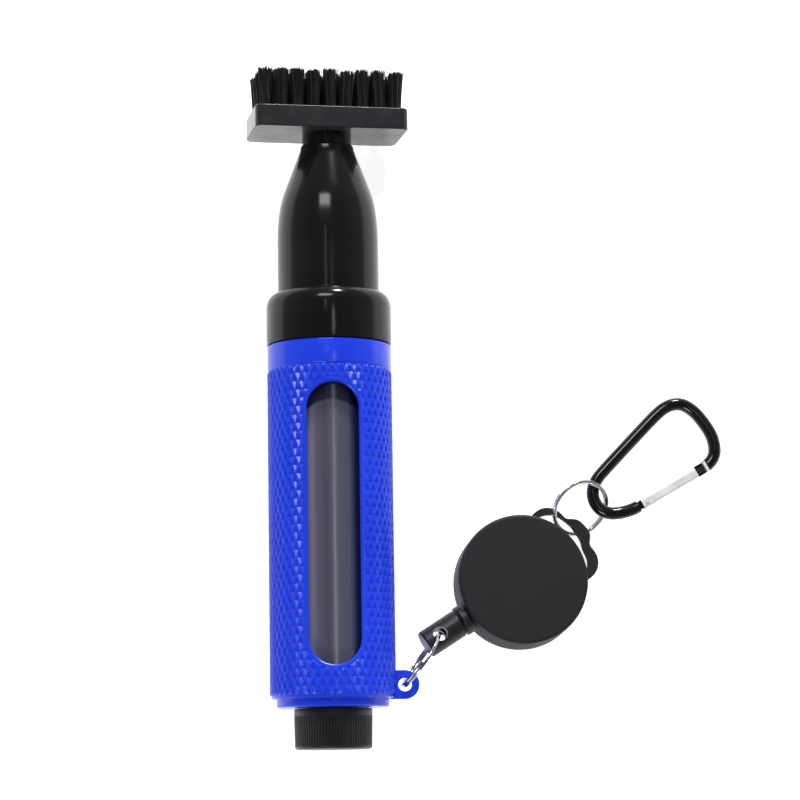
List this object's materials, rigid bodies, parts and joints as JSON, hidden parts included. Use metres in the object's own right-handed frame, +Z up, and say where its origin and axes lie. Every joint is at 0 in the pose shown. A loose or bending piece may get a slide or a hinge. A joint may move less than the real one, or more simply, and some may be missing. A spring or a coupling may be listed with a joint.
{
  "type": "club groove brush",
  "caption": "Handheld groove-cleaning brush with a water tank in its knurled grip, a press-to-wet bristle head, and a retracting cord reel with a carabiner.",
  "frame": {"origin": "centre of the fill cap's end face, on the grip axis", "axes": "+Y along the grip axis from the fill cap to the bristles, +Z up from the floor the brush lies on, out through the tank window, +X towards the cord reel"},
  "size_m": [0.1386, 0.1975, 0.0365],
  "materials": {
    "blue_grip": "moulded, satin with a knurl",
    "smoky_tank": "translucent, smoky",
    "black_gloss": "glossy moulded",
    "black_cap": "ribbed, satin",
    "black_matte": "fine matte",
    "seal_rubber": "smooth",
    "white_inner": "plain moulded",
    "spring_steel": "drawn wire",
    "staple_brass": "drawn wire",
    "ring_steel": "nickel-plated, bright",
    "rivet_steel": "polished",
    "gate_aluminium": "polished",
    "black_anodised": "anodised, glossy",
    "black_bristle": "nylon filament",
    "cord_black": "braided"
  },
  "bodies": {
    "handle": {"grip_sleeve": "blue_grip", "water_tank": "smoky_tank", "tank_gasket": "seal_rubber", "collar": "black_gloss", "nozzle_housing": "black_gloss", "valve_body": "white_inner"},
    "head": {"plunger_stem": "black_gloss", "stem_o_ring": "seal_rubber", "valve_washer": "seal_rubber", "retaining_clip": "spring_steel", "return_spring": "spring_steel", "brush_block": "black_gloss", "bristle_tufts": "black_bristle", "tuft_staples": "staple_brass"},
    "cap_seal": {"cap_gasket": "seal_rubber"},
    "cap": {"fill_cap": "black_cap"},
    "link_ring": {"small_split_ring": "ring_steel"},
    "cord_end": {"cord_end_fitting": "black_matte", "cord_lead_and_knot": "cord_black"},
    "reel": {"reel_front_shell": "black_matte", "reel_back_shell": "black_matte", "reel_axle": "ring_steel", "nose_bush": "black_matte"},
    "drum": {"cord_drum": "white_inner", "power_spring": "spring_steel", "wound_cord": "cord_black"},
    "clip_ring": {"big_split_ring": "ring_steel"},
    "carabiner": {"carabiner_frame": "black_anodised", "gate_rivet": "rivet_steel"},
    "gate": {"carabiner_gate": "gate_aluminium", "gate_spring": "spring_steel", "gate_spring_follower": "rivet_steel"}
  },
  "joints": [
    {"name": "head_press", "type": "slide", "parent": "handle", "child": "head", "axis": [0, -1, 0], "range_m": [0, 0.003], "stiffness_N_per_m": 600, "deforming": ["return_spring"]},
    {"name": "cap_travel", "type": "slide", "parent": "handle", "child": "cap_seal", "axis": [0, -1, 0], "range_m": [0, 0.009]},
    {"name": "cap_unscrew", "type": "hinge", "parent": "cap_seal", "child": "cap", "pos_m": [0, 0.006, 0], "axis": [0, -1, 0], "range_deg": [0, 1080]},
    {"name": "link_ring_swing", "type": "hinge", "parent": "handle", "child": "link_ring", "pos_m": [0.0206, 0.0181, 0], "axis": [0, 0, 1], "range_deg": [-30, 18]},
    {"name": "cord_end_swing", "type": "hinge", "parent": "link_ring", "child": "cord_end", "pos_m": [0.0306, 0.032, -0.004], "axis": [0.0976, 0.1619, 0.982], "range_deg": [-12, 12]},
    {"name": "reel_pull", "type": "slide", "parent": "cord_end", "child": "reel", "axis": [0.8269, 0.5358, -0.1706], "range_m": [0, 0.6]},
    {"name": "drum_spin", "type": "hinge", "parent": "reel", "child": "drum", "pos_m": [0.0546, 0.04755, -0.00895], "axis": [0.1332, 0.1081, 0.9852], "range_deg": [0, 2864.8]},
    {"name": "clip_ring_swing", "type": "hinge", "parent": "reel", "child": "clip_ring", "pos_m": [0.07004, 0.06476, -0.01201], "axis": [0.7417, -0.6702, -0.0268], "range_deg": [0, 15]},
    {"name": "carabiner_swing", "type": "hinge", "parent": "clip_ring", "child": "carabiner", "pos_m": [0.08015, 0.0726, -0.01285], "axis": [0.2339, -0.7574, -0.6097], "range_deg": [0, 20]},
    {"name": "gate_open", "type": "hinge", "parent": "carabiner", "child": "gate", "pos_m": [0.09242, 0.07111, -0.01368], "axis": [0.0883, 0.0491, 0.9949], "range_deg": [0, 38], "stiffness_Nm_per_rad": 0.02}
  ],
  "couplings": [
    {"joint": "cap_unscrew", "follows": "cap_travel", "rad_per_m": 2094.4},
    {"joint": "drum_spin", "follows": "reel_pull", "rad_per_m": 83.333}
  ]
}
